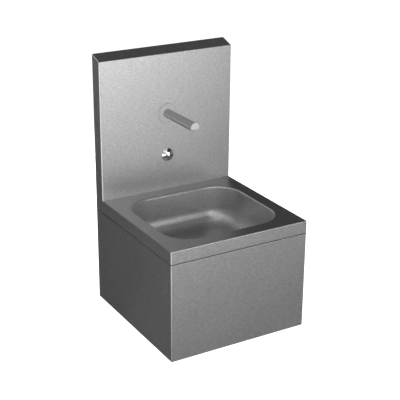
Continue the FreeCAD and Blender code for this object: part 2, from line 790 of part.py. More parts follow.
def dome(shrink, start):
    """The inside of the cap's sphere in front of the start station, and a cylinder behind it."""
    ball = (button_radius ** 2 + button_dome ** 2) / (2 * button_dome)
    ball_centre = -button_stand - button_dome + ball
    end = skirt_end + shrink
    column = rod(button_radius - shrink, station(-button_stand - button_dome), station(end))
    sphere = place(Part.makeSphere(ball - shrink), station(ball_centre), (0, 1, 0))
    return column.common(sphere.fuse(rod(button_radius + overlap, station(start), station(end))))


def make_button_cap():
    """A turned dome with a boss for the stem and a straight skirt that runs inside the valve body's recess."""
    outside = dome(0, -button_stand)
    outside = rounded_edges(outside, button_edge, lambda e: near(middle(e).y, face - button_stand))
    boss = rod(boss_radius, station(-button_stand - button_dome), station(spring_start))
    hollow = dome(button_wall, button_wall - button_stand).cut(boss)
    return outside.cut([hollow, rod(stem_radius + running / 2, station(stem_start), station(spring_start + 1))])


def make_button_stem():
    stem = rod(stem_radius, station(stem_start), station(piston_start))
    pin_end = piston_start + piston_length + piston_nut_height + clear
    return stem.fuse(rod(piston_pin, station(piston_start), station(pin_end)))


def make_piston():
    piston = ring(sleeve_bore - clear, piston_pin + running / 2, station(piston_start),
                  station(piston_start + piston_length))
    groove = (piston_length - seal_width) / 2 - running
    return piston.cut(ring(sleeve_bore, seal_seat, station(piston_start + groove),
                           station(piston_start + piston_length - groove)))


def make_piston_seal():
    start = piston_start + (piston_length - seal_width) / 2
    return soft_ring(seal_seat + running, sleeve_bore - seal_seat - 2 * running, seal_width, start)


def make_piston_nut():
    start = piston_start + piston_length
    return hexagon(piston_nut_flats, piston_pin + running, station(start), station(start + piston_nut_height))


def make_return_spring():
    """Open turns between the cap's boss and the bonnet, as quarter-turn arcs, ground flat at both ends."""
    length = recess_floor - spring_start
    climb = (length - spring_wire) / spring_quarters

    def on_helix(quarters):
        turn, rise = math.pi / 2 * quarters, spring_wire / 2 + climb * quarters
        return Vec(spring_radius * math.cos(turn), spring_radius * math.sin(turn), rise)

    arcs = [Part.Arc(on_helix(n), on_helix(n + 0.5), on_helix(n + 1)).toShape() for n in range(spring_quarters)]
    profile = Part.Wire(Part.Circle(on_helix(0), Vec(0, 1, 0), spring_wire).toShape())
    coil = Part.Wire(arcs).makePipeShell([profile], True, False)
    ground = Part.makeCylinder(spring_radius + 2, length - 2 * running, Vec(0, 0, running))
    return place(coil.common(ground), station(spring_start), (0, 1, 0))


# ---- supply --------------------------------------------------------------------------------------

def hose_points():
    """Chosen by hand: straight down through the worktop's slot, then across to the stop valve."""
    upper = valve_port_end - washer - hose_in
    lower = stop_port_end + washer + hose_in
    return [(0, feed_place, upper), (0, feed_place, upper - 62), (20, feed_place - 9, upper - 118),
            (stop_x - 28, stop_outlet - 5, lower + 88), (stop_x, stop_outlet, lower + 42),
            (stop_x, stop_outlet, lower)]


def bent_path(points):
    """Straight runs joined by tangent arcs, each as large as its two runs allow."""
    points = [Vec(*p) for p in points]
    edges, start = [], points[0]
    for before, corner, after in zip(points, points[1:], points[2:]):
        to_before, to_after = before - corner, after - corner
        tangent = 0.45 * min(to_before.Length, to_after.Length)
        radius = tangent / math.tan((math.pi - to_before.getAngle(to_after)) / 2)
        print("hose bend radius %.0f" % radius)
        to_before.normalize()
        to_after.normalize()
        inward = to_before + to_after
        inward.normalize()
        first, last = corner + to_before * tangent, corner + to_after * tangent
        centre = corner + inward * math.hypot(radius, tangent)
        edges.append(Part.LineSegment(start, first).toShape())
        edges.append(Part.Arc(first, centre - inward * radius, last).toShape())
        start = last
    edges.append(Part.LineSegment(start, points[-1]).toShape())
    return Part.Wire(edges)


def make_supply_hose():
    path = bent_path(hose_points())
    tubes = []
    for radius in (hose_radius, hose_bore):
        circle = Part.Wire(Part.Circle(Vec(*hose_points()[0]), Vec(0, 0, 1), radius).toShape())
        tubes.append(path.makePipeShell([circle], True, False))
    section = math.pi * hose_radius ** 2
    print("hose length %.0f, volume over section %.0f" % (path.Length, tubes[0].Volume / section))
    return tubes[0].cut(tubes[1])


def make_hose_washers():
    return [ring(collar_radius - clear, hose_bore + 1, (x, y, end), (x, y, end + way * washer))
            for x, y, end, way in hose_ends]


def make_hose_ferrules():
    """Each crimped sleeve with its nipple and the collar that the nut pulls on."""
    profile = [(hose_bore, 0), (collar_radius, 0), (collar_radius, collar), (ferrule_radius, collar),
               (ferrule_radius, ferrule_length), (hose_radius + running, ferrule_length),
               (hose_radius + running, hose_in), (hose_bore, hose_in)]
    return [turned(profile, (x, y, end + way * washer), (0, 0, way)) for x, y, end, way in hose_ends]


def make_hose_nuts():
    nuts = []
    for x, y, end, way in hose_ends:
        open_end, shoulder = end - way * nut_grip, end + way * (washer + collar + running)
        back = shoulder + way * nut_floor
        nut = hexagon(hose_nut_flats, ferrule_radius + running, (x, y, open_end), (x, y, back))
        nuts.append(nut.cut(rod(half_inch + running, (x, y, open_end), (x, y, shoulder))))
    return nuts


def stop_point(s, z=0.0):
    """A point over the stop valve's axis, a distance out from the wall."""
    return (stop_x, -s, stop_height + z)


def make_stop_body():
    barrel = stop_tail + stop_hexagon
    body = rod(half_inch, stop_point(0), stop_point(stop_tail)).fuse(
        [hexagon(stop_flats, 0, stop_point(stop_tail), stop_point(barrel)),
         rod(stop_barrel, stop_point(barrel), stop_point(barrel_end)),
         rod(half_inch, stop_point(stop_setback), stop_point(stop_setback, stop_port))])
    return body.cut([rod(stop_passage, stop_point(-overlap), stop_point(seat_place)),
                     rod(stop_bore, stop_point(seat_place - overlap), stop_point(barrel_end + overlap)),
                     rod(stop_passage, stop_point(stop_setback), stop_point(stop_setback, stop_port + overlap))])


def make_stop_bonnet():
    bonnet_front = barrel_end + stop_hexagon + bonnet_neck
    bonnet = rod(stop_bore - running, stop_point(bonnet_start), stop_point(barrel_end)).fuse(
        [hexagon(bonnet_flats, 0, stop_point(barrel_end), stop_point(barrel_end + stop_hexagon)),
         rod(spindle_radius + bonnet_neck, stop_point(barrel_end + stop_hexagon), stop_point(bonnet_front))])
    return bonnet.cut(rod(spindle_radius + running, stop_point(bonnet_start - 1), stop_point(knob_start)))


def make_stop_spindle():
    """Its disc turns in front of the seat, with two windows that a quarter turn closes."""
    disc_back, disc_front = seat_place + overlap, seat_place + overlap + disc_thickness
    spindle = rod(spindle_radius, stop_point(disc_front), stop_point(spindle_end)).fuse(
        rod(stop_bore - 2 * running, stop_point(disc_back), stop_point(disc_front)))
    for way in (-1, 1):
        wedge = [(0, 0), (stop_bore, way * stop_bore), (-stop_bore, way * stop_bore)]
        wedge = prism([(stop_x + x, overlap - disc_back, stop_height + z) for x, z in wedge],
                      (0, -disc_thickness - 2 * overlap, 0))
        arc = ring(stop_bore - disc_rim, spindle_radius + clear, stop_point(disc_back - overlap),
                   stop_point(disc_front + overlap))
        spindle = spindle.cut(wedge.common(arc))
    return spindle


def make_stop_handle():
    """A hollow eight-lobed knob, held on the spindle by one screw."""
    behind, front = knob_start - overlap, knob_end + overlap
    cuts = []
    for n in range(knob_lobes):
        turn = 2 * math.pi * (n + 0.5) / knob_lobes
        x = stop_x + (knob_radius + knob_offset) * math.cos(turn)
        z = stop_height + (knob_radius + knob_offset) * math.sin(turn)
        cuts.append(rod(knob_groove, (x, -behind, z), (x, -front, z)))
    web = knob_end - knob_web
    cuts += [ring(knob_radius - knob_wall, spindle_radius + knob_hub, stop_point(behind), stop_point(web)),
             rod(spindle_radius + running / 2, stop_point(behind), stop_point(spindle_end)),
             rod(handle_screw + clear, stop_point(spindle_end - overlap), stop_point(front)),
             rod(handle_screw_head + 2 * clear, stop_point(spindle_end + handle_screw_neck), stop_point(front))]
    return rod(knob_radius, stop_point(knob_start), stop_point(knob_end)).cut(cuts)


def make_handle_screw():
    low = spindle_end + handle_screw_neck
    top = low + handle_screw_height
    screw = rod(handle_screw_head, stop_point(low), stop_point(top)).fuse(
        rod(handle_screw, stop_point(spindle_end), stop_point(low)))
    slot = block((stop_x - handle_screw_head, stop_x + handle_screw_head), (-top, handle_screw_height / 3 - top),
                 (stop_height - slot_width / 2, stop_height + slot_width / 2))
    return screw.cut(slot)


# ---- waste ---------------------------------------------------------------------------------------

def down(z):
    """A point on the waste's axis."""
    return (0, bowl_centre, z)


def make_strainer_seal():
    return ring(strainer_radius, waste_hole + 1, down(recess_top), down(recess_top + strainer_seal))


def make_strainer_plate():
    """A pressed disc with a turned-up edge, a countersink for its screw and two rings of holes."""
    low, thick = recess_top + strainer_seal, strainer_thickness
    outer, step = strainer_radius + strainer_edge, running * 2
    disc = turned([(0, 0), (strainer_radius, 0), (outer, strainer_edge - clear), (outer, thick + step),
                   (strainer_radius - clear, thick + step), (strainer_radius - strainer_edge, thick),
                   (0, thick)], down(low), (0, 0, 1))
    hole = strainer_screw_radius + clear
    sink = turned([(0, -overlap), (hole, -overlap), (hole, countersink_start),
                   (countersink_radius, thick + step), (0, thick + step)], down(low), (0, 0, 1))
    holes = []
    for count, radius, shift in strainer_rings:
        for n in range(count):
            turn = math.radians(360.0 * n / count + shift)
            x, y = radius * math.cos(turn), bowl_centre + radius * math.sin(turn)
            holes.append(rod(strainer_hole, (x, y, low - 1), (x, y, low + thick + 1)))
    return disc.cut([sink] + holes)


def make_strainer_screw():
    low, top = recess_top + strainer_seal, strainer_thickness + running * 2
    head_radius = countersink_radius - clear
    head = turned([(0, countersink_start), (strainer_screw_radius, countersink_start), (head_radius, top),
                   (head_radius - 0.4, top + 0.5), (0, top + 0.8)], down(low), (0, 0, 1))
    slot = block((-head_radius, head_radius), (bowl_centre - slot_width / 2, bowl_centre + slot_width / 2),
                 (low + top - 0.4, low + top + overlap))
    return head.cut(slot).fuse(rod(strainer_screw_radius, down(low - strainer_screw_length),
                                   down(low + countersink_start)))


def make_waste_seal():
    return ring(funnel_radius - 1, waste_hole + 1, down(flange_top), down(under_bowl))


def make_waste_body():
    """A funnel with an inch and a quarter thread and a bridge of three webs that takes the strainer's screw."""
    neck = -funnel_depth
    funnel = turned([(waste_hole + 1, 0), (funnel_radius, 0), (funnel_radius, -funnel_flange),
                     (funnel_radius - 5, -funnel_flange), (waste_thread + 1.6, neck + 2), (waste_thread, neck),
                     (waste_thread, -thread_length), (waste_bore, -thread_length), (waste_bore, neck),
                     (waste_bore + 2, neck + 3)], down(flange_top), (0, 0, 1))
    hub = rod(bridge_hub, down(flange_top - bridge_low - 2), down(flange_top - funnel_flange))
    inside = rod(waste_bore + 1.5, down(flange_top - bridge_low - 1), down(flange_top - funnel_flange))
    webs = []
    for turn in (0, 60, 120):
        web = block((-waste_thread, waste_thread), (-bridge_web / 2, bridge_web / 2),
                    (flange_top - bridge_low, flange_top - bridge_high))
        web.rotate(Vec(0, 0, 0), Vec(0, 0, 1), turn)
        web.translate(Vec(0, bowl_centre, 0))
        webs.append(web.common(inside))
    solid = funnel.fuse([hub] + webs).removeSplitter()
    return solid.cut(rod(strainer_screw_radius + running, down(flange_top - thread_length), down(flange_top)))


def grip_nut(bore, socket, floor):
    """A ribbed union nut on the inch and a quarter thread, standing on z = 0 with its floor down."""
    outer = waste_thread + union_wall
    height = socket + floor
    cuts = [Part.makeCylinder(waste_thread + running, socket + overlap, Vec(0, 0, floor)),
            Part.makeCylinder(bore, floor + overlap)]
    for n in range(union_ribs):
        turn = 2 * math.pi * n / union_ribs
        groove = Vec((outer + rib_offset) * math.cos(turn), (outer + rib_offset) * math.sin(turn), 0)
        cuts.append(Part.makeCylinder(rib_radius, height, groove))
    return Part.makeCylinder(outer, height).cut(cuts)


def make_inlet_washer():
    return ring(waste_thread - 1, pipe_radius - pipe_wall, down(thread_end - seal), down(thread_end))


def make_dip_tube():
    """Hangs from its collar under the waste's thread, down into the bottle's water."""
    top, bore = thread_end - seal, pipe_radius - pipe_wall
    tube = ring(pipe_radius, bore, down(dip_end), down(top))
    return tube.fuse(ring(waste_thread - 0.8, bore, down(top - dip_collar), down(top))).removeSplitter()


def make_inlet_nut():
    nut = grip_nut(pipe_radius + running, union_grip + seal + dip_collar, union_floor)
    return place(nut, down(union_low), (0, 0, 1))


def outlet(s):
    """A point on the trap's outlet, a distance behind the trap's axis."""
    return (0, bowl_centre + s, trap_height)


def make_trap_body():
    """The head of the bottle: a neck for the dip tube and a threaded branch to the wall."""
    top, inner = trap_height + trap_shoulder, trap_radius - trap_wall
    tube = pipe_radius + 2 * running
    shell = turned([(0, body_low), (trap_radius, body_low), (trap_radius, top - 5), (trap_radius - 6, top),
                    (waste_thread, top), (waste_thread, neck_top), (0, neck_top)], down(0), (0, 0, 1))
    inside = turned([(0, body_low - overlap), (inner, body_low - overlap), (inner, top - 6),
                     (inner - 5, top - 3), (tube, top - 3), (tube, neck_top + overlap), (0, neck_top + overlap)],
                    down(0), (0, 0, 1))
    branch = rod(waste_thread, outlet(0), outlet(branch_length))
    bore = rod(waste_bore, outlet(trap_radius - 4 * trap_wall), outlet(branch_length + overlap))
    return shell.fuse(branch).cut([inside, bore])


def make_neck_washer():
    return ring(waste_thread - 1, pipe_radius + running, down(neck_top), down(neck_top + seal))


def make_neck_nut():
    nut = grip_nut(pipe_radius + 3 * running, neck_grip + seal, neck_floor)
    return place(nut, down(neck_top + seal + neck_floor), (0, 0, -1))


def make_trap_cup():
    """The lower half of the bottle, unscrewed for cleaning by its ribbed rim."""
    rim, seat = body_low + cup_overlap, body_low - seal_squeeze
    outer, inner, foot = trap_radius + cup_rim, trap_radius - trap_wall, trap_base + cup_base
    cup = turned([(0, trap_base), (trap_radius - 14, trap_base), (trap_radius - 4, trap_base + 5),
                  (trap_radius, trap_base + 14), (trap_radius, seat - 4), (outer, seat - 1), (outer, rim),
                  (trap_radius + running, rim), (trap_radius + running, seat), (inner, seat), (inner, foot + 12),
                  (inner - 4, foot + 4.5), (trap_radius - 14, foot), (0, foot)], (0, bowl_centre, 0), (0, 0, 1))
    cuts = []
    for n in range(cup_ribs):
        turn = 2 * math.pi * n / cup_ribs
        x, y = (outer + 1.6) * math.cos(turn), bowl_centre + (outer + 1.6) * math.sin(turn)
        cuts.append(rod(rib_radius, (x, y, seat - 3), (x, y, rim + 1)))
    return cup.cut(cuts)


def make_cup_seal():
    return ring(trap_radius - running, trap_radius - trap_wall, down(body_low - seal_squeeze), down(body_low))


def make_outlet_washer():
    return ring(waste_thread - 1, pipe_radius + running, outlet(branch_length), outlet(branch_length + seal))


def make_outlet_nut():
    nut = grip_nut(pipe_radius + 3 * running, branch_grip + seal, neck_floor)
    return place(nut, outlet(branch_length + seal + neck_floor), (0, -1, 0))


def make_outlet_pipe():
    """Runs from inside the trap's branch to the wall, with a rolled bead that stops the wall's collar."""
    bore = pipe_radius - pipe_wall
    pipe = ring(pipe_radius, bore, outlet(branch_length - pipe_insert), (0, 0, trap_height))
    bead = ring(pipe_radius + bead_height, bore, (0, -bead_setback - bead_width, trap_height),
                (0, -bead_setback, trap_height))
    return pipe.fuse(bead).removeSplitter()


# ---- the whole sink ------------------------------------------------------------------------------

pieces = {
    "worktop": make_worktop,
    "bowl": make_bowl,
    "splashback": make_splashback,
    "casing": make_casing,
    "casing_screws": make_casing_screws,
    "rear_rail": make_rear_rail,
    "left_bracket": lambda: make_bracket(-1),
    "right_bracket": lambda: make_bracket(1),
    "deck_studs": make_deck_studs,
    "deck_nuts": make_deck_nuts,
    "wall_hanger": make_wall_hanger,
    "splash_hook": make_splash_hook,
    "spout": make_spout,
    "flow_straightener": make_flow_straightener,
    "spout_rosette": make_spout_rosette,
    "spout_washer": make_spout_washer,
    "spout_nut": make_spout_nut,
    "spout_elbow": make_spout_elbow,
    "feed_pipe": make_feed_pipe,
    "feed_nuts": make_feed_nuts,
    "button_cap": make_button_cap,
    "button_stem": make_button_stem,
    "piston": make_piston,
    "piston_seal": make_piston_seal,
    "piston_nut": make_piston_nut,
    "return_spring": make_return_spring,
    "valve_bonnet": make_valve_bonnet,
    "stem_seal": make_stem_seal,
    "cartridge_sleeve": make_cartridge_sleeve,
    "valve_body": make_valve_body,
    "valve_gasket": make_valve_gasket,
    "valve_studs": make_valve_studs,
    "valve_nuts": make_valve_nuts,
    "supply_hose": make_supply_hose,
    "hose_washers": make_hose_washers,
    "hose_ferrules": make_hose_ferrules,
    "hose_nuts": make_hose_nuts,
    "stop_valve_body": make_stop_body,
    "stop_valve_bonnet": make_stop_bonnet,
    "stop_valve_spindle": make_stop_spindle,
    "stop_valve_handle": make_stop_handle,
    "handle_screw": make_handle_screw,
    "strainer_plate": make_strainer_plate,
    "strainer_screw": make_strainer_screw,
    "strainer_seal": make_strainer_seal,
    "waste_seal": make_waste_seal,
    "waste_body": make_waste_body,
    "trap_inlet_washer": make_inlet_washer,
    "trap_inlet_nut": make_inlet_nut,
    "trap_dip_tube": make_dip_tube,
    "trap_neck_washer": make_neck_washer,
    "trap_neck_nut": make_neck_nut,
    "trap_body": make_trap_body,
    "trap_cup_seal": make_cup_seal,
    "trap_cup": make_trap_cup,
    "trap_outlet_washer": make_outlet_washer,
    "trap_outlet_nut": make_outlet_nut,
    "outlet_pipe": make_outlet_pipe,
}

os.makedirs("parts", exist_ok=True)
for name, make in pieces.items():
    made = make()
    shape = Part.makeCompound(made) if isinstance(made, list) else made
    if len(shape.Solids) == 1:
        shape = shape.Solids[0]
    print("%-20s solids %d valid %s volume %.0f" % (name, len(shape.Solids), shape.isValid(), shape.Volume))
    shape.exportStep("parts/" + name + ".step")
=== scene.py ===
import json
import math

import bmesh
import bpy
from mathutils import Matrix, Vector


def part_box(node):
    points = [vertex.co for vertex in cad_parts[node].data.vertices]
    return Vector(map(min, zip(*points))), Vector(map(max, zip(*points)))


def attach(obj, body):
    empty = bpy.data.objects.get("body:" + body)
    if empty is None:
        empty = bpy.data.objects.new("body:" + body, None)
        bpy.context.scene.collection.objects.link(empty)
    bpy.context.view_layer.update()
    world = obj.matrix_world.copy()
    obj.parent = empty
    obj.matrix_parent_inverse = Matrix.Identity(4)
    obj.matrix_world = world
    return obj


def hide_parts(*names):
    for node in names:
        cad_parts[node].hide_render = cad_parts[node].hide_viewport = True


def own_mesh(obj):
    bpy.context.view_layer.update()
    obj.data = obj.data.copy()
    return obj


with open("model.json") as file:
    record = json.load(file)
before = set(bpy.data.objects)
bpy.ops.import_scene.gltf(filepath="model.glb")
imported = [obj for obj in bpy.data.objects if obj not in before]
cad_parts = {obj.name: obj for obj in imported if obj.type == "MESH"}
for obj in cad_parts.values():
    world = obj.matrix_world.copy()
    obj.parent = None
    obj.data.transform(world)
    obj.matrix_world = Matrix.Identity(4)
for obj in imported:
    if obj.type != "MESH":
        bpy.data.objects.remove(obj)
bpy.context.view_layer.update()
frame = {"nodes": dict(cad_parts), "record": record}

nodes = frame["nodes"]
print("frame loaded:", len(nodes), "nodes")

mixSockets = {"FLOAT": (2, 3, 0), "VECTOR": (4, 5, 1), "RGBA": (6, 7, 2)}  # first, second and result


def feed(tree, socket, source):
    # another node's socket is linked, a plain value is set
    if isinstance(source, bpy.types.NodeSocket):
        tree.links.new(source, socket)
    else:
        socket.default_value = source


def addNode(tree, kind, sources=None, **settings):
    node = tree.nodes.new(kind)
    for name, value in settings.items():
        setattr(node, name, value)
    for name, source in (sources or {}).items():
        feed(tree, node.inputs[name], source)
    return node


def calculate(tree, operation, *sources):
    return addNode(tree, "ShaderNodeMath", dict(enumerate(sources)), operation=operation).outputs[0]


def largestOf(tree, sources):
    largest = sources[0]
    for source in sources[1:]:
        largest = calculate(tree, "MAXIMUM", largest, source)
    return largest


def stretch(tree, vector, scale):
    return addNode(tree, "ShaderNodeVectorMath", {0: vector, 1: scale}, operation="MULTIPLY").outputs[0]


def combine(tree, *parts):
    return addNode(tree, "ShaderNodeCombineXYZ", dict(enumerate(parts))).outputs[0]


def axisOf(tree, vector, axis):
    return addNode(tree, "ShaderNodeSeparateXYZ", {0: vector}).outputs[axis]


def mapRange(tree, source, low, high, fromLow=0.0, fromHigh=1.0):
    node = addNode(tree, "ShaderNodeMapRange", {"Value": source, "From Min": fromLow, "From Max": fromHigh,
                                                "To Min": low, "To Max": high})
    return node.outputs["Result"]


def mix(tree, kind, mask, first, second, blend="MIX"):
    one, two, result = mixSockets[kind]
    node = addNode(tree, "ShaderNodeMix", {0: mask, one: first, two: second},
                   data_type=kind, blend_type=blend)
    return node.outputs[result]


def noise(tree, vector, scale, **look):
    sources = {"Vector": vector, "Scale": scale}
    for name, value in look.items():
        sources[name.capitalize()] = value
    return addNode(tree, "ShaderNodeTexNoise", sources).outputs[0]


def opaque(colour):
    return (*colour, 1)


def newGroup(name, inputs, outputs):
    # inputs and outputs: socket name and kind, and a number's starting value
    group = bpy.data.node_groups.new(name, "ShaderNodeTree")
    for socketName, kind, *start in inputs:
        socket = group.interface.new_socket(name=socketName, in_out="INPUT", socket_type=kind)
        if start:
            socket.default_value = start[0]
    for socketName, kind in outputs:
        group.interface.new_socket(name=socketName, in_out="OUTPUT", socket_type=kind)
    return group, addNode(group, "NodeGroupInput").outputs, addNode(group, "NodeGroupOutput").inputs


def placeGroup(tree, group, sources):
    return addNode(tree, "ShaderNodeGroup", sources, node_tree=group).outputs


def newMaterial(name, values):
    material = bpy.data.materials.new(name)
    material.use_nodes = True
    tree = material.node_tree
    shader = tree.nodes["Principled BSDF"]
    for socketName, value in values.items():
        shader.inputs[socketName].default_value = value
    return material, tree, shader


def coordinates(tree):
    return addNode(tree, "ShaderNodeTexCoord").outputs


def addBump(tree, shader, height, settings):
    bump = addNode(tree, "ShaderNodeBump", {"Height": height, "Strength": settings["bump"],
                                            "Distance": settings["bumpDepth"]})
    feed(tree, shader.inputs["Normal"], bump.outputs["Normal"])


# effects that several materials share
sheetGrain = {"lineDetail": 3.0, "lineRoughness": 0.6, "lineShare": 0.7, "speckle": 560.0,
              "speckleStretch": (0.35, 0.35, 1.0), "speckleDetail": 3.0, "speckleRoughness": 0.7,
              "sideways": 0.7, "quiet": 0.72, "loud": 0.98}


def makeGrainGroup():
    # short fine lines along X, or along Y on the faces that look sideways, with a speckle over them
    group, enter, leave = newGroup(
        "sheetGrain",
        [("Vector", "NodeSocketVector"), ("Normal", "NodeSocketVector"),
         ("Lines", "NodeSocketFloat", 900.0), ("Length", "NodeSocketFloat", 40.0)],
        [("Height", "NodeSocketFloat"), ("Tone", "NodeSocketFloat")])
    turned = calculate(group, "ABSOLUTE", axisOf(group, enter["Normal"], "X"))
    side = calculate(group, "GREATER_THAN", turned, sheetGrain["sideways"])
    alongX = combine(group, enter["Length"], enter["Lines"], enter["Lines"])
    alongY = combine(group, enter["Lines"], enter["Length"], enter["Lines"])
    lineScale = mix(group, "VECTOR", side, alongX, alongY)
    lines = noise(group, stretch(group, enter["Vector"], lineScale), 1.0,
                  detail=sheetGrain["lineDetail"], roughness=sheetGrain["lineRoughness"])
    drawn = stretch(group, enter["Vector"], sheetGrain["speckleStretch"])
    speckle = noise(group, drawn, sheetGrain["speckle"],
                    detail=sheetGrain["speckleDetail"], roughness=sheetGrain["speckleRoughness"])
    height = calculate(group, "MULTIPLY_ADD", lines, sheetGrain["lineShare"], speckle)
    feed(group, leave["Height"], height)
    feed(group, leave["Tone"], mapRange(group, height, 0.0, 1.0, sheetGrain["quiet"], sheetGrain["loud"]))
    return group


bendPolishAndHighlight = {"round": 0.8, "flat": 0.97}  # how nearly a face looks along one axis


def makeBendGroup():
    # 1 on the rounded edges of folded sheet, where hands and cloths polish it smoother and a painted
    # highlight lightens its colour
    group, enter, leave = newGroup("bendPolishAndHighlight", [("Normal", "NodeSocketVector")],
                                   [("Mask", "NodeSocketFloat")])
    sizes = [calculate(group, "ABSOLUTE", axisOf(group, enter["Normal"], axis)) for axis in "XYZ"]
    mask = mapRange(group, largestOf(group, sizes), 1.0, 0.0, bendPolishAndHighlight["round"], bendPolishAndHighlight["flat"])
    feed(group, leave["Mask"], mask)
    return group


softClouds = {"detail": 4.0, "roughness": 0.55, "distortion": 0.4, "low": 0.3, "high": 0.7}


def makeCloudGroup():
    # the slow unevenness that wiping and rolling leave
    group, enter, leave = newGroup(
        "softClouds",
        [("Vector", "NodeSocketVector"), ("Scale", "NodeSocketFloat", 9.0)],
        [("Value", "NodeSocketFloat")])
    cloud = noise(group, enter["Vector"], enter["Scale"], detail=softClouds["detail"],
                  roughness=softClouds["roughness"], distortion=softClouds["distortion"])
    feed(group, leave["Value"], mapRange(group, cloud, 0.0, 1.0, softClouds["low"], softClouds["high"]))
    return group


shadedLevelFaces = {"steep": 0.75, "level": 0.97}


def makeLevelGroup():
    # 1 on faces that look up, whose colour is darkened as a painted shade
    group, enter, leave = newGroup("shadedLevelFaces", [("Normal", "NodeSocketVector")],
                                   [("Mask", "NodeSocketFloat")])
    up = axisOf(group, enter["Normal"], "Z")
    feed(group, leave["Mask"], mapRange(group, up, 0.0, 1.0, shadedLevelFaces["steep"], shadedLevelFaces["level"]))
    return group


grainGroup = makeGrainGroup()
cloudGroup = makeCloudGroup()
bendGroup = makeBendGroup()
levelGroup = makeLevelGroup()
print("shared effects ready")


# metals: dark and light are the grain's two tones, lines and length its fineness per metre
satinSteel = {"dark": (0.46, 0.465, 0.47), "light": (0.66, 0.66, 0.665), "metal": 0.92,
              "roughness": 0.4, "roughSpread": 0.015, "lines": 1400.0, "length": 60.0, "clouds": 7.0,
              "bump": 0.12, "bumpDepth": 0.0002}
# the folded sheet's bends are painted lighter, a painted highlight, as well as polished smoother
foldedSteel = dict(satinSteel, levelShadeTint=(0.7, 0.7, 0.705), bendHighlightColour=(0.8, 0.8, 0.8), bendRoughness=0.2)
# the casing's band under the worktop is painted near-black, a painted shade of the seam
casingSteel = dict(foldedSteel, seamLow=-0.0372, seamHigh=-0.0362, seamShadeColour=(0.12, 0.12, 0.12),
                   seamShadeRoughness=0.6)
bowlSteel = dict(satinSteel, levelShadeTint=(0.66, 0.66, 0.665), roughness=0.42)
# the spout's end face is painted lighter, a painted highlight
spoutSteel = dict(satinSteel, dark=(0.34, 0.345, 0.35), light=(0.48, 0.48, 0.485), roughness=0.25,
                  faceHighlightColour=(0.72, 0.72, 0.72), faceRoughness=0.36, faceAt=-0.1886, faceEdge=0.0002)
# the rosette's side faces are painted near-black, a painted shade where it meets the panel
rosetteSteel = dict(satinSteel, rimShadeColour=(0.02, 0.02, 0.02), rimShadeRoughness=0.6,
                    rimStart=-0.75, rimFull=-0.45)
frameSteel = dict(satinSteel, dark=(0.5, 0.505, 0.51), light=(0.66, 0.665, 0.67), metal=0.75,
                  roughness=0.42, roughSpread=0.05, lines=500.0, clouds=18.0, bump=0.2)
fastenerSteel = dict(satinSteel, dark=(0.55, 0.55, 0.56), light=(0.66, 0.66, 0.67), roughness=0.28,
                     lines=2500.0, length=400.0)
strainerSteel = dict(satinSteel, dark=(0.56, 0.56, 0.57), light=(0.66, 0.66, 0.67), roughness=0.24,
                     lines=2200.0, length=300.0)
springSteel = dict(satinSteel, dark=(0.5, 0.5, 0.52), light=(0.62, 0.62, 0.64), roughness=0.3,
                   lines=3000.0, length=500.0)
brassMetal = dict(satinSteel, dark=(0.68, 0.5, 0.24), light=(0.86, 0.68, 0.36), roughness=0.32,
                  roughSpread=0.06, lines=1800.0, length=700.0, clouds=60.0)
nickelBrass = dict(satinSteel, dark=(0.6, 0.58, 0.53), light=(0.74, 0.72, 0.67), roughness=0.2,
                   roughSpread=0.05, lines=2500.0, length=900.0, clouds=60.0, bump=0.05)


def spreadRoughness(tree, shader, cloud, settings):
    low = settings["roughness"] - settings["roughSpread"]
    high = settings["roughness"] + settings["roughSpread"]
    feed(tree, shader.inputs["Roughness"], mapRange(tree, cloud, low, high))


def steelMaterial(name, settings):
    material, tree, shader = newMaterial(name, {"Metallic": settings["metal"],
                                                "Roughness": settings["roughness"]})
    place = coordinates(tree)
    grain = placeGroup(tree, grainGroup, {"Vector": place["Object"], "Normal": place["Normal"],
                                          "Lines": settings["lines"], "Length": settings["length"]})
    cloud = placeGroup(tree, cloudGroup, {"Vector": place["Object"], "Scale": settings["clouds"]})
    tone = mix(tree, "RGBA", grain["Tone"], opaque(settings["dark"]), opaque(settings["light"]))
    feed(tree, shader.inputs["Base Color"], tone)
    spreadRoughness(tree, shader, cloud["Value"], settings)
    addBump(tree, shader, grain["Height"], settings)
    return material


def startFrom(name, settings):
    material = steelMaterial(name, settings)
    tree = material.node_tree
    return material, tree, tree.nodes["Principled BSDF"], coordinates(tree)


def overlay(tree, shader, mask, colour, roughness):
    # another colour and roughness where the mask is 1, used for finishes and for painted shade and painted
    # highlights
    baseColour = shader.inputs["Base Color"].links[0].from_socket
    baseRoughness = shader.inputs["Roughness"].links[0].from_socket
    feed(tree, shader.inputs["Base Color"], mix(tree, "RGBA", mask, baseColour, opaque(colour)))
    feed(tree, shader.inputs["Roughness"], mix(tree, "FLOAT", mask, baseRoughness, roughness))


# upward faces get their colour multiplied by the level tint, a painted shade
def paintShadeOnLevelFaces(tree, shader, place, settings):
    level = placeGroup(tree, levelGroup, {"Normal": place["Normal"]})
    baseColour = shader.inputs["Base Color"].links[0].from_socket
    levelShaded = mix(tree, "RGBA", level["Mask"], baseColour, opaque(settings["levelShadeTint"]), "MULTIPLY")
    feed(tree, shader.inputs["Base Color"], levelShaded)


def bowlMaterial(name, settings):
    material, tree, shader, place = startFrom(name, settings)
    paintShadeOnLevelFaces(tree, shader, place, settings)
    return material


def sheetMaterial(name, settings):
    # satin sheet whose bends are polished smoother and painted lighter, a painted highlight
    material, tree, shader, place = startFrom(name, settings)
    paintShadeOnLevelFaces(tree, shader, place, settings)
    bends = placeGroup(tree, bendGroup, {"Normal": place["Normal"]})
    overlay(tree, shader, bends["Mask"], settings["bendHighlightColour"], settings["bendRoughness"])
    return material


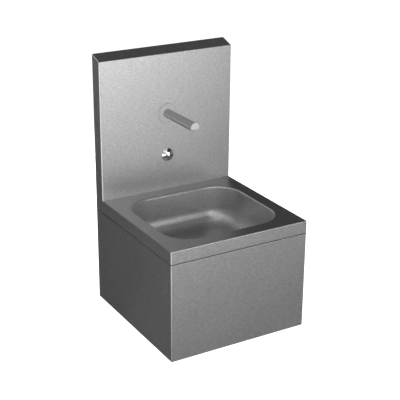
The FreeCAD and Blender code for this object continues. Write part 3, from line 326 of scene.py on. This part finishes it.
def casingMaterial(name, settings):
    # folded sheet with a painted shade along the seam under the worktop: a near-black, rougher band at the
    # top of the casing
    material = sheetMaterial(name, settings)
    tree = material.node_tree
    height = axisOf(tree, coordinates(tree)["Object"], "Z")
    seam = mapRange(tree, height, 0.0, 1.0, settings["seamLow"], settings["seamHigh"])
    overlay(tree, tree.nodes["Principled BSDF"], seam, settings["seamShadeColour"], settings["seamShadeRoughness"])
    return material


def spoutMaterial(name, settings):
    # a ground tube whose faced end is painted lighter, a painted highlight, with its own rougher finish
    material, tree, shader, place = startFrom(name, settings)
    start, full = settings["faceAt"] - settings["faceEdge"], settings["faceAt"] + settings["faceEdge"]
    mask = mapRange(tree, axisOf(tree, place["Object"], "Y"), 1.0, 0.0, start, full)
    overlay(tree, shader, mask, settings["faceHighlightColour"], settings["faceRoughness"])
    return material


def rosetteMaterial(name, settings):
    # the panel's satin with a painted shade: a near-black rim on its side faces, where it meets the panel
    material, tree, shader, place = startFrom(name, settings)
    facing = axisOf(tree, place["Normal"], "Y")
    mask = mapRange(tree, facing, 0.0, 1.0, settings["rimStart"], settings["rimFull"])
    overlay(tree, shader, mask, settings["rimShadeColour"], settings["rimShadeRoughness"])
    return material


braidSteel = {"dark": (0.24, 0.24, 0.25), "light": (0.8, 0.8, 0.81), "roughness": 0.34, "strands": 12.0,
              "along": 89.0, "crown": 0.4, "wires": 5.0, "wireHeight": 0.12, "bump": 0.8, "bumpDepth": 0.0004}


def braidMaterial(name, settings):
    # flat strands woven on the hose's own map, which runs along it in U and round it in V
    material, tree, shader = newMaterial(name, {"Metallic": 1.0, "Roughness": settings["roughness"]})
    place = addNode(tree, "ShaderNodeUVMap").outputs[0]
    slants = []
    for way in (1, -1):
        slope = (settings["along"], way * settings["strands"], 0)
        slant = addNode(tree, "ShaderNodeVectorMath", {0: place, 1: slope}, operation="DOT_PRODUCT")
        slants.append(slant.outputs["Value"])
    weave = addNode(tree, "ShaderNodeTexChecker", {"Vector": combine(tree, *slants), "Scale": 1.0,
                                                   "Color1": opaque((1, 1, 1)), "Color2": opaque((0, 0, 0))})
    across = mix(tree, "FLOAT", weave.outputs["Fac"], *slants)
    crown = mapRange(tree, calculate(tree, "PINGPONG", across, 0.5), 0.0, 1.0, 0.0, settings["crown"])
    wires = calculate(tree, "SINE", calculate(tree, "MULTIPLY", across, settings["wires"] * 2 * math.pi))
    height = calculate(tree, "MULTIPLY_ADD", wires, settings["wireHeight"], crown)
    # each strand is painted darker towards its edges and lighter on its crown, a painted shade of the weave
    tone = mix(tree, "RGBA", crown, opaque(settings["dark"]), opaque(settings["light"]))
    feed(tree, shader.inputs["Base Color"], tone)
    addBump(tree, shader, height, settings)
    return material


chromePlate = {"colour": (0.86, 0.865, 0.87), "roughness": 0.05, "roughSpread": 0.02, "clouds": 90.0}


def chromeMaterial(name, settings):
    material, tree, shader = newMaterial(name, {"Metallic": 1.0, "Roughness": settings["roughness"],
                                                "Base Color": opaque(settings["colour"])})
    place = coordinates(tree)["Object"]
    cloud = placeGroup(tree, cloudGroup, {"Vector": place, "Scale": settings["clouds"]})["Value"]
    spreadRoughness(tree, shader, cloud, settings)
    return material


# plastics and rubber: pebble is the mould's texture per metre
whitePlastic = {"dark": (0.72, 0.72, 0.7), "light": (0.8, 0.8, 0.78), "ior": 1.49, "gloss": 0.45,
                "roughness": 0.38, "roughSpread": 0.05, "clouds": 30.0, "pebble": 1800.0, "pebbleDetail": 2.0,
                "bump": 0.1, "bumpDepth": 0.0002}
greyPlastic = dict(whitePlastic, dark=(0.3, 0.31, 0.32), light=(0.38, 0.39, 0.4), roughness=0.4,
                   clouds=60.0, pebble=2500.0, bump=0.15)
knobPlastic = dict(whitePlastic, dark=(0.02, 0.07, 0.26), light=(0.03, 0.1, 0.34), roughness=0.35,
                   clouds=80.0, pebble=2600.0, bump=0.15)
sealRubber = dict(whitePlastic, dark=(0.018, 0.018, 0.018), light=(0.035, 0.035, 0.034), roughness=0.6,
                  clouds=90.0, pebble=3000.0, bump=0.25)


def mouldedMaterial(name, settings):
    material, tree, shader = newMaterial(name, {"Metallic": 0.0, "IOR": settings["ior"],
                                                "Specular IOR Level": settings["gloss"]})
    place = coordinates(tree)["Object"]
    cloud = placeGroup(tree, cloudGroup, {"Vector": place, "Scale": settings["clouds"]})["Value"]
    tone = mix(tree, "RGBA", cloud, opaque(settings["dark"]), opaque(settings["light"]))
    feed(tree, shader.inputs["Base Color"], tone)
    spreadRoughness(tree, shader, cloud, settings)
    addBump(tree, shader, noise(tree, place, settings["pebble"], detail=settings["pebbleDetail"]), settings)
    return material


finishes = {  # one for each material slot of the record
    "satin_steel": steelMaterial("satinSteel", satinSteel),
    "spout_steel": spoutMaterial("spoutSteel", spoutSteel),
    "chrome": chromeMaterial("chrome", chromePlate),
    "frame_steel": steelMaterial("frameSteel", frameSteel),
    "fastener_steel": steelMaterial("fastenerSteel", fastenerSteel),
    "strainer_steel": steelMaterial("strainerSteel", strainerSteel),
    "spring_steel": steelMaterial("springSteel", springSteel),
    "brass": steelMaterial("brassMetal", brassMetal),
    "nickel_brass": steelMaterial("nickelBrass", nickelBrass),
    "knob_plastic": mouldedMaterial("knobPlastic", knobPlastic),
    "hose_braid": braidMaterial("braidSteel", braidSteel),
    "rubber": mouldedMaterial("sealRubber", sealRubber),
    "white_plastic": mouldedMaterial("whitePlastic", whitePlastic),
    "grey_plastic": mouldedMaterial("greyPlastic", greyPlastic),
}
foldedMaterial = sheetMaterial("foldedSteel", foldedSteel)
nodeFinishes = {  # nodes whose finish differs from their slot's
    "worktop": foldedMaterial,
    "splashback": foldedMaterial,
    "casing": casingMaterial("casingSteel", casingSteel),
    "bowl": bowlMaterial("bowlSteel", bowlSteel),
    "spout_rosette": rosetteMaterial("rosetteSteel", rosetteSteel),
}
for part in frame["record"]["subparts"]:
    finish = nodeFinishes.get(part["node"], finishes[part["material_slot"]])
    for materialSlot in nodes[part["node"]].material_slots:
        materialSlot.material = finish
print("finishes given to every node")


def linkObject(name, data):
    made = bpy.data.objects.new(name, data)
    bpy.context.scene.collection.objects.link(made)
    return made


def meshObject(name, mesh):
    data = bpy.data.meshes.new(name)
    mesh.to_mesh(data)
    mesh.free()
    return linkObject(name, data)


def shadeSmooth(piece):
    for face in piece.data.polygons:
        face.use_smooth = True


def finishPiece(piece, body, slotName, *replaced):
    shadeSmooth(piece)
    piece.data.materials.append(finishes[slotName])
    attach(piece, body)
    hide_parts(*replaced)


weldDistance = 1e-6


def everything(mesh):
    return mesh.verts[:] + mesh.edges[:] + mesh.faces[:]


# return spring: round wire, its inset how far inside the flat ends the wire's middle lies
returnSpring = {"wire": 0.0007, "inset": 0.0007 / 3, "turns": 3.5, "steps": 36, "sides": 14, "keep": 0.56}


def makeReturnSpring():
    low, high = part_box("return_spring")
    wire, inset, turns = returnSpring["wire"], returnSpring["inset"], returnSpring["turns"]
    centre = (low + high) / 2
    mesh = bmesh.new()
    bmesh.ops.create_circle(mesh, segments=returnSpring["sides"], radius=wire, cap_ends=True)
    bmesh.ops.translate(mesh, verts=mesh.verts, vec=(high.x - wire, low.y + inset, centre.z))
    count = round(turns * returnSpring["steps"])
    climb = (high.y - low.y - 2 * inset) / count
    bmesh.ops.spin(mesh, geom=everything(mesh), cent=centre, axis=(0, 1, 0), dvec=(0, climb, 0),
                   angle=turns * 2 * math.pi, steps=count)
    for place, way in ((low.y, -1), (high.y, 1)):  # grinds both ends flat
        bmesh.ops.bisect_plane(mesh, geom=everything(mesh), dist=1e-7, plane_co=(0, place, 0),
                               plane_no=(0, way, 0), clear_outer=True)
        bmesh.ops.holes_fill(mesh, edges=mesh.edges)
    bmesh.ops.remove_doubles(mesh, verts=mesh.verts, dist=weldDistance)
    bmesh.ops.recalc_face_normals(mesh, faces=mesh.faces)
    spring = meshObject("returnSpring", mesh)
    finishPiece(spring, "sink", "spring_steel", "return_spring")
    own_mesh(spring)


# supply hose: steel braid from the button's valve down to the stop valve, held at both ends
supplyHose = {"radius": 0.006, "sides": 10, "smooth": 16,
              "route": ((0, -0.017, 0.06), (0, -0.017, -0.002), (0.02, -0.026, -0.058),
                        (0.082, -0.045, -0.079), (0.11, -0.04, -0.125), (0.11, -0.04, -0.167))}


def makeSupplyHose():
    data = bpy.data.curves.new("hoseRoute", "CURVE")
    data.dimensions = "3D"
    spline = data.splines.new("NURBS")
    spline.points.add(len(supplyHose["route"]) - 1)
    for point, place in zip(spline.points, supplyHose["route"]):
        point.co = (*place, 1)
    spline.order_u = 3  # after the points, or it stays at 2
    spline.use_endpoint_u = True
    data.resolution_u = supplyHose["smooth"]
    data.bevel_depth = supplyHose["radius"]
    data.bevel_resolution = supplyHose["sides"]
    data.use_fill_caps = True
    curve = bpy.data.objects.new("hoseRoute", data)
    mesh = bmesh.new()
    mesh.from_mesh(bpy.data.meshes.new_from_object(curve))
    bpy.data.objects.remove(curve)
    bmesh.ops.remove_doubles(mesh, verts=mesh.verts, dist=weldDistance)
    finishPiece(meshObject("supplyHose", mesh), "sink", "hose_braid", "supply_hose")


makeReturnSpring()
makeSupplyHose()
print("spring and hose made")


# studio: a white world and a pale floor, soft lamps, and a tent that only reflections see
studio = {"floorHeight": -0.86, "floorSize": 24.0, "floorGlow": 0.88, "floorColour": (0.8, 0.8, 0.8),
          "floorRoughness": 0.9, "floorGloss": 0.1, "ambient": 0.25}
whiteRays = ("Is Camera Ray", "Is Glossy Ray", "Is Transmission Ray")


def whiteRayMask(tree):
    rays = addNode(tree, "ShaderNodeLightPath").outputs
    return largestOf(tree, [rays[name] for name in whiteRays])


def makeWorld():
    world = bpy.data.worlds.new("studioWorld")
    bpy.context.scene.world = world
    world.use_nodes = True
    tree = world.node_tree
    background = tree.nodes["Background"]
    background.inputs["Color"].default_value = opaque((1, 1, 1))
    feed(tree, background.inputs["Strength"], mapRange(tree, whiteRayMask(tree), studio["ambient"], 1.0))


def makeFloor():
    mesh = bmesh.new()
    bmesh.ops.create_grid(mesh, x_segments=1, y_segments=1, size=studio["floorSize"] / 2)
    bmesh.ops.translate(mesh, verts=mesh.verts, vec=(0, 0, studio["floorHeight"]))
    floor = meshObject("studioFloor", mesh)
    material, tree, shader = newMaterial("paleFloor", {"Base Color": opaque(studio["floorColour"]),
                                                       "Roughness": studio["floorRoughness"],
                                                       "Specular IOR Level": studio["floorGloss"]})
    strength = mapRange(tree, whiteRayMask(tree), 0.0, studio["floorGlow"])
    glow = addNode(tree, "ShaderNodeEmission", {"Strength": strength})
    both = addNode(tree, "ShaderNodeAddShader")
    tree.links.new(shader.outputs[0], both.inputs[0])
    tree.links.new(glow.outputs[0], both.inputs[1])
    tree.links.new(both.outputs[0], tree.nodes["Material Output"].inputs["Surface"])
    floor.data.materials.append(material)
    floor.visible_glossy = False


def fromAngles(azimuth, pitch):
    # a direction from the object: azimuth from the front towards the right, pitch up
    turn, rise = math.radians(azimuth), math.radians(pitch)
    return Vector((math.sin(turn) * math.cos(rise), -math.cos(turn) * math.cos(rise), math.sin(rise)))


def aimAt(thing, target, azimuth, pitch, distance):
    away = fromAngles(azimuth, pitch)
    thing.location = Vector(target) + away * distance
    thing.rotation_mode = "QUATERNION"
    thing.rotation_quaternion = (-away).to_track_quat("-Z", "Y")


tent = {"radius": 3.0, "level": 0.035, "edge": 8.0, "meridians": 120, "rings": 60}
tentPanels = {  # azimuth from and to, pitch from and to, strength
    "frontWindow": (-18, 32, 9, 25, 2.3),
    "rightWindow": (6, 28, -10, 8, 3.6),
    "leftHorizon": (-105, -18, -12, 14, 1.3),
    "farFloor": (-110, 8, -24, -12, 1.7),
    "nearFloor": (-110, -15, -52, -36, 0.9),
    "highFront": (-75, 6, 27, 58, 0.9),
    "topFront": (-70, 60, 62, 90, 0.65),
    "highBackLeft": (-148, -85, 34, 62, 1.0),
    "lowRight": (50, 125, -12, 22, 0.2),
    "backLeft": (178, 235, -12, 30, 0.1),
}


def softBand(value, low, high):
    # 1 inside low..high, falling softly to 0 over the tent's edge width
    inside = min(value - low, high - value) / tent["edge"] + 0.5
    inside = min(max(inside, 0.0), 1.0)
    return inside * inside * (3 - 2 * inside)


def tentLevel(direction):
    azimuth = math.degrees(math.atan2(direction.x, -direction.y))
    pitch = math.degrees(math.asin(direction.z / direction.length))
    level = tent["level"]
    for left, right, low, high, strength in tentPanels.values():
        turned = (azimuth - (left + right) / 2 + 180) % 360 - 180
        half = (right - left) / 2
        level += strength * softBand(turned, -half, half) * softBand(pitch, low, high)
    return level


def makeTent():
    # dark, with soft bright panels
    mesh = bmesh.new()
    bmesh.ops.create_uvsphere(mesh, u_segments=tent["meridians"], v_segments=tent["rings"],
                              radius=tent["radius"])
    layer = mesh.verts.layers.float.new("level")
    for corner in mesh.verts:
        corner[layer] = tentLevel(corner.co)
    shell = meshObject("softTent", mesh)
    shadeSmooth(shell)
    material, tree, shader = newMaterial("softTent", {})
    tree.nodes.remove(shader)
    level = addNode(tree, "ShaderNodeAttribute", attribute_name="level")
    glow = addNode(tree, "ShaderNodeEmission", {"Strength": level.outputs["Fac"]})
    tree.links.new(glow.outputs[0], tree.nodes["Material Output"].inputs["Surface"])
    shell.data.materials.append(material)
    for rays in ("camera", "diffuse", "shadow", "transmission", "volume_scatter"):
        setattr(shell, "visible_" + rays, False)


lamps = {
    "frontSoftbox": {"azimuth": 12, "pitch": 8, "distance": 3.0, "size": 1.6, "power": 90.0},
    "backSoftbox": {"azimuth": 168, "pitch": 12, "distance": 3.0, "size": 1.2, "power": 60.0},
    "topSoftbox": {"azimuth": -10, "pitch": 72, "distance": 2.4, "size": 1.2, "power": 2.0},
}


def makeLamp(name, settings):
    data = bpy.data.lights.new(name, "AREA")
    data.shape = "RECTANGLE"
    data.size = settings["size"]
    data.size_y = settings["size"]
    data.energy = settings["power"]
    lamp = linkObject(name, data)
    aimAt(lamp, (0, 0, 0), settings["azimuth"], settings["pitch"], settings["distance"])
    lamp.visible_camera = False
    lamp.visible_glossy = False


makeWorld()
makeFloor()
makeTent()
for lampName, lampSettings in lamps.items():
    makeLamp(lampName, lampSettings)
nodes["spout"].visible_glossy = False  # else the satin panel shows a dark smear beside it
print("studio ready")


# the camera stands at the photograph's angle
camera = {"lens": 92.51, "sensor": 36.0, "shiftX": 0.046, "shiftY": -0.018,
          "target": (-0.0464, -0.2, 0.0495), "azimuth": -29.54, "pitch": 21.39, "distance": 2.6943}
cameraData = bpy.data.cameras.new("photoCamera")
cameraData.lens = camera["lens"]
cameraData.sensor_width = camera["sensor"]
cameraData.shift_x = camera["shiftX"]
cameraData.shift_y = camera["shiftY"]
photoCamera = linkObject("photoCamera", cameraData)
aimAt(photoCamera, camera["target"], camera["azimuth"], camera["pitch"], camera["distance"])
bpy.context.scene.camera = photoCamera
bpy.context.scene.view_settings.view_transform = "Standard"
print("camera ready")
